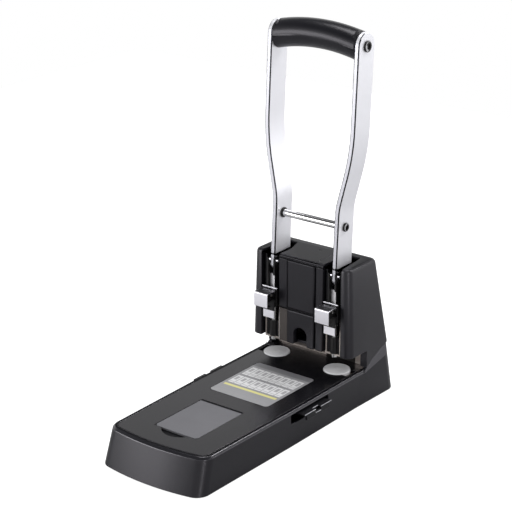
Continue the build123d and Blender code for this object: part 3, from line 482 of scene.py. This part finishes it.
def edit(on):
    bpy.ops.object.mode_set(mode="EDIT" if on else "OBJECT")


def pickFaces(piece, test):
    # leaves the piece in edit mode, with the faces selected whose middle and normal pass the test
    pickOnly(piece)
    edit(True)
    bpy.ops.mesh.select_mode(type="FACE")
    bpy.ops.mesh.select_all(action="DESELECT")
    edit(False)
    for face in piece.data.polygons:
        face.select = bool(test(face.center, face.normal))
    edit(True)


def applied(piece, kind, **settings):
    pickOnly(piece)
    modifier = piece.modifiers.new(kind.lower(), kind)
    for key, value in settings.items():
        setattr(modifier, key, value)
    bpy.ops.object.modifier_apply(modifier=modifier.name)


def smooth(piece, degrees=32):
    pickOnly(piece)
    bpy.ops.object.shade_smooth_by_angle(angle=math.radians(degrees))


def rounded(piece, width, segments=2, degrees=28):
    smooth(piece)
    applied(piece, "BEVEL", width=width * mm, segments=segments, limit_method="ANGLE",
            angle_limit=math.radians(degrees), use_clamp_overlap=False, harden_normals=True)


def copyOf(nodeName, pieceName):
    # a joined-up copy of a CAD node with its flat faces made whole
    piece = bpy.data.objects.new(pieceName, nodes[nodeName].data.copy())
    bpy.context.scene.collection.objects.link(piece)
    piece.data.materials.clear()
    pickOnly(piece)
    bpy.ops.mesh.customdata_custom_splitnormals_clear()
    edit(True)
    bpy.ops.mesh.select_all(action="SELECT")
    bpy.ops.mesh.remove_doubles(threshold=2e-6)
    bpy.ops.mesh.dissolve_limited(angle_limit=math.radians(0.4))
    edit(False)
    return piece


def dressed(piece, looks):
    # each later look takes the faces that pass its test of middle (in punch-line mm) and normal
    piece.data.materials.clear()
    for look, test in looks:
        piece.data.materials.append(finish[look])
    for face in piece.data.polygons:
        middle = face.center / mm - Vector((0, punchLine, 0))
        for i, (look, test) in enumerate(looks):
            if test is None or test(middle, face.normal):
                face.material_index = i


def finished(piece, nodeName, looks):
    # paints the piece and puts it in the node's place, on the node's body
    dressed(piece, looks)
    pickOnly(piece)
    bpy.ops.object.transform_apply(location=True, rotation=True, scale=True)
    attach(piece, bodyOf[nodeName])
    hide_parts(nodeName)


def moved(piece, test, x, y, z):
    # shifts the faces that pass the test, by millimetres
    pickFaces(piece, test)
    bpy.ops.transform.translate(value=(x * mm, y * mm, z * mm))
    edit(False)


def cutAt(piece, place, normal=(0, 0, 1)):
    # divides the faces along a plane
    pickOnly(piece)
    edit(True)
    bpy.ops.mesh.select_all(action="SELECT")
    bpy.ops.mesh.bisect(plane_co=place, plane_no=normal)
    edit(False)


softened = {
    # node: edge radius in mm, segments, finish
    "storage_tray": (0.4, 2, "hiddenPlastic"),
    "label_plate": (0.12, 2, "labelFilm"),
    "guide_blocks": (0.4, 2, "hiddenPlastic"),
    "centre_panel_lower": (0.6, 3, "towerPlastic"),
    "side_strip_left": (0.8, 3, "towerPlastic"),
    "bay_frame_right": (0.2, 2, "frameSteel"),
    "bay_frame_left": (0.2, 2, "frameSteel"),
    "crossbar_washers": (0.2, 2, "blackenedSteel"),
    "crossbar": (0.3, 2, "chromePlate"),
    "cross_pins": (0.15, 2, "brightSteel"),
    "rubber_feet": (0.6, 3, "footRubber"),
    "grip": (1.2, 4, "gripSkin"),
    "top_screw": (0.2, 2, "blackenedSteel"),
    "gauge_rails": (0.3, 2, "gaugePlastic"),
    "die_plate": (0.2, 2, "plateSteel"),
    "punch_bushes": (0.3, 2, "blackenedSteel"),
}
for side, centreX in sides:
    softened["ram_block_" + side] = (0.35, 2, "blackenedSteel")
    softened["ram_bar_" + side] = (0.25, 2, "satinSteel")
    softened["clamp_pin_" + side] = (0.3, 2, "zincSteel")

for nodeName, (radius, segments, look) in softened.items():
    first, *rest = nodeName.split("_")
    piece = copyOf(nodeName, first + "".join(word.capitalize() for word in rest))
    rounded(piece, radius, segments)
    finished(piece, nodeName, [(look, None)])
print("softened pieces:", len(softened))

# base shell: a painted highlight on the bevel round the rim, a painted sheen on the right wing's facet, and
# painted shade on the line between the rim and the deck
shell = {
    "edge": 0.55, "deckTop": 38.9, "bevelLow": 36.2, "grooveRear": 10,
    "wingFront": 13, "wingRear": 57, "wingLow": 36,
}
piece = copyOf("base_shell", "baseShell")
rounded(piece, shell["edge"], 3)
finished(piece, "base_shell", [
    ("shellPlastic", None),
    ("wingPlastic", lambda m, n: n.x > 0.9 and m.x > 0 and n.z > 0.12
     and shell["wingFront"] < m.y < shell["wingRear"] and m.z > shell["wingLow"]),
    ("rimPlastic", lambda m, n: m.z > shell["bevelLow"] and 0.25 < n.z < 0.97),
    ("groovePlastic", lambda m, n: abs(m.z - shell["deckTop"]) < 0.6 and n.z > 0.97
     and m.y < shell["grooveRear"])])

# tower cover: the roof is a shade more matt than the sides
tower = {"edge": 0.5, "roofLow": 150}
piece = copyOf("tower_cover", "towerCover")
rounded(piece, tower["edge"], 3)
finished(piece, "tower_cover", [
    ("towerPlastic", None), ("roofPlastic", lambda m, n: n.z > 0.95 and m.z > tower["roofLow"])])

# lid: its rear strip, by the hinge gap, is painted dark as a shadow
lid = {"edge": 0.5, "darkFrom": -149.2, "darkLow": 37}
piece = copyOf("storage_lid", "storageLid")
cutAt(piece, at(0, lid["darkFrom"], 0), (0, 1, 0))
rounded(piece, lid["edge"], 3)
finished(piece, "storage_lid", [
    ("lidPlastic", None), ("groovePlastic", lambda m, n: m.y > lid["darkFrom"] and m.z > lid["darkLow"])])

# back stop: in the tower's shadow, except at the right and along the foot of the left half
stop = {"edge": 0.25, "right": 46, "middle": 8, "foot": 41}
piece = copyOf("back_stop", "backStop")
cutAt(piece, at(stop["right"], 0, 0), (1, 0, 0))
cutAt(piece, at(stop["middle"], 0, 0), (1, 0, 0))
cutAt(piece, at(0, 0, stop["foot"]))
rounded(piece, stop["edge"], 2)
finished(piece, "back_stop", [
    ("plateSteel", None), ("shadedSteel", lambda m, n: m.x < stop["middle"] and m.z > stop["foot"]),
    ("stopShade", lambda m, n: stop["middle"] < m.x < stop["right"])])

# deck: the finger notch ahead of the lid is cut deep, and painted dark inside as shade in the recess
deck = {"edge": 0.35, "notchFront": -236, "notchRear": -219, "notchHalf": 22, "notchTop": 38.5}
piece = copyOf("deck_cover", "deckCover")
rounded(piece, deck["edge"], 2)
finished(piece, "deck_cover", [
    ("deckPlastic", None),
    ("groovePlastic", lambda m, n: abs(m.x) < deck["notchHalf"]
     and deck["notchFront"] < m.y < deck["notchRear"] and (n.z < 0.9 or m.z < deck["notchTop"]))])

# tower front: wider shadow gaps round the panels
front = {"panelEdge": 1.0, "stripEdge": 0.8, "flangeEdge": 0.4, "seam": 0.9, "groove": 0.5}
piece = copyOf("centre_panel_upper", "centrePanelUpper")
moved(piece, lambda m, n: n.z < -0.5, 0, 0, front["groove"])
rounded(piece, front["panelEdge"], 3)
finished(piece, "centre_panel_upper", [("towerPlastic", None)])
piece = copyOf("side_strip_right", "sideStripRight")
moved(piece, lambda m, n: n.x < -0.9, front["seam"], 0, 0)
rounded(piece, front["stripEdge"], 3)
finished(piece, "side_strip_right", [("towerPlastic", None)])
# frame flange: the plate is painted as shade, with a painted highlight on its faces turned to the front and
# left
piece = copyOf("frame_flange", "frameFlange")
rounded(piece, front["flangeEdge"], 2)
finished(piece, "frame_flange", [
    ("shadedSteel", None), ("brightSteel", lambda m, n: n.x < -0.3 and n.y < -0.2)])
print("covers ready")

# rams: yokes black above their bright lower fronts, tabs with a painted shadow where the lever overhangs
# them
ram = {"yokeEdge": 0.25, "yokeLow": 118, "yokeBright": 132.5, "tabEdge": 0.3, "tabDark": 93.0}
for side, centreX in sides:
    piece = copyOf("yoke_" + side, "yoke" + side.capitalize())
    cutAt(piece, at(0, 0, ram["yokeBright"]))
    rounded(piece, ram["yokeEdge"], 2)
    finished(piece, "yoke_" + side, [
        ("blackenedSteel", None),
        ("satinSteel", lambda m, n: n.y < -0.9 and ram["yokeLow"] < m.z < ram["yokeBright"]
         and m.x > centreX)])
    piece = copyOf("back_tab_" + side, "backTab" + side.capitalize())
    cutAt(piece, at(0, 0, ram["tabDark"]))
    rounded(piece, ram["tabEdge"], 2, 40)
    # each tab is painted black above this height as the lever's shadow
    finished(piece, "back_tab_" + side, [
        ("brightSteel", None), ("blackenedSteel", lambda m, n: m.z > ram["tabDark"])])
print("rams ready")

# arms: satin sides, front faces painted darker as shade, and a dark line painted down each front edge as a
# reflection
arm = {"edge": 1.1, "corner": 30}
for side, centreX in sides:
    piece = copyOf("arm_" + side, "arm" + side.capitalize())
    rounded(piece, arm["edge"], 3, arm["corner"])
    finished(piece, "arm_" + side, [
        ("armAluminium", None), ("armFront", lambda m, n: n.y < -0.9),
        ("armEdge", lambda m, n: -0.97 < n.y < -0.2 and abs(n.x) > 0.2)])
print("arms ready")


# socket screws on the arms: grey domes, black rims, and sockets painted black as shade in the recess
# axis y, axis z, socket's and rim's radius; the grip screws' axis is read from their heads
screws = {"crossbar_screws": (6.5, 199.0, 2.7, 4.3), "grip_screws": (0, 0, 3.4, 5.4)}
screwHead = {"edge": 0.2, "depth": 2}
for nodeName, (axisY, axisZ, socketRadius, rimRadius) in screws.items():
    piece = copyOf(nodeName, "gripScrews" if nodeName == "grip_screws" else "crossbarScrews")
    rounded(piece, screwHead["edge"], 2)
    if not axisY:
        farthest = max(v.co.x for v in piece.data.vertices)
        outer = [v.co for v in piece.data.vertices if v.co.x > farthest - screwHead["depth"] * mm]
        axisY = (min(c.y for c in outer) + max(c.y for c in outer)) / 2 / mm - punchLine
        axisZ = (min(c.z for c in outer) + max(c.z for c in outer)) / 2 / mm

    def fromAxis(middle): return math.hypot(middle.y - axisY, middle.z - axisZ)
    finished(piece, nodeName, [
        ("screwSteel", None), ("blackenedSteel", lambda m, n: fromAxis(m) < socketRadius),
        ("blackenedSteel", lambda m, n: fromAxis(m) > rimRadius)])
print("screws ready")

# paper gauge: a painted highlight on its end edges
gauge = {"edge": 0.45, "corner": 40}
piece = copyOf("side_gauge", "sideGauge")
rounded(piece, gauge["edge"], 2, gauge["corner"])
finished(piece, "side_gauge", [
    ("gaugePlastic", None), ("gaugeEdge", lambda m, n: 0.3 < n.z < 0.95 and abs(n.x) > 0.3)])
print("gauge ready")


# clamp levers: bright front and rims; brushed top painted grey, and inside and ears painted black, as
# shade; ram plates: bright front
clamp = {"edge": 0.45, "front": -29.0, "topFrom": 115.2, "rimFrom": 113.7}
ramPlate = {"edge": 0.3, "front": -13.0}
for side, centreX in sides:
    def isFront(middle, normal): return middle.y < clamp["front"] and normal.y < -0.5
    def isTop(middle, normal): return normal.z > 0.6 and middle.z > clamp["topFrom"]
    def isRim(middle, normal): return middle.z > clamp["rimFrom"] and 0.2 < abs(normal.x) < 0.98
    piece = copyOf("clamp_lever_" + side, "clampLever" + side.capitalize())
    rounded(piece, clamp["edge"], 3)
    finished(piece, "clamp_lever_" + side, [
        ("blackenedSteel", None), ("greySteel", isTop), ("brightSteel", isRim), ("brightSteel", isFront)])
    piece = copyOf("ram_plate_" + side, "ramPlate" + side.capitalize())
    rounded(piece, ramPlate["edge"], 2)
    finished(piece, "ram_plate_" + side, [
        ("blackenedSteel", None), ("brightSteel", lambda m, n: m.y < ramPlate["front"] and n.y < -0.3)])
print("clamps ready")


# turned discs: copies of the CAD disc with a raised rim, rings and a centre dimple cut in the top
disc = {
    "top": 39.9, "edge": 0.35, "corner": 24,
    # inset and lift of each ring, from the rim inwards
    "steps": ((1.3, -0.12), (0.25, -0.10), (3.2, 0.0), (0.25, 0.12), (0.3, -0.12),
              (4.6, 0.0), (0.25, 0.14), (0.35, -0.14), (2.2, 0.0), (0.3, -0.18)),
}
for side, centreX in sides:
    piece = copyOf("disc_" + side, "disc" + side.capitalize())
    rounded(piece, disc["edge"], 2)
    top = disc["top"] * mm
    pickFaces(piece, lambda middle, normal: normal.z > 0.99 and abs(middle.z - top) < 0.2 * mm)
    for inward, lift in disc["steps"]:
        bpy.ops.mesh.inset(thickness=inward * mm, depth=lift * mm, use_even_offset=True)
    edit(False)
    smooth(piece, disc["corner"])
    finished(piece, "disc_" + side, [("discFace" + side.capitalize(), None)])
print("discs ready")


plain = {
    "hidden_plastic": "hiddenPlastic", "steel_plate": "plateSteel", "fastener_steel": "zincSteel",
    "bush_steel": "blackenedSteel", "spring_steel": "springSteel", "punch_steel": "punchSteel",
    "grip_black": "gripSkin", "disc_plastic": "discFaceRight",
}
for nodeName, node in nodes.items():
    if not node.hide_render:
        node.data.materials.clear()
        node.data.materials.append(finish[plain[slotOf[nodeName]]])
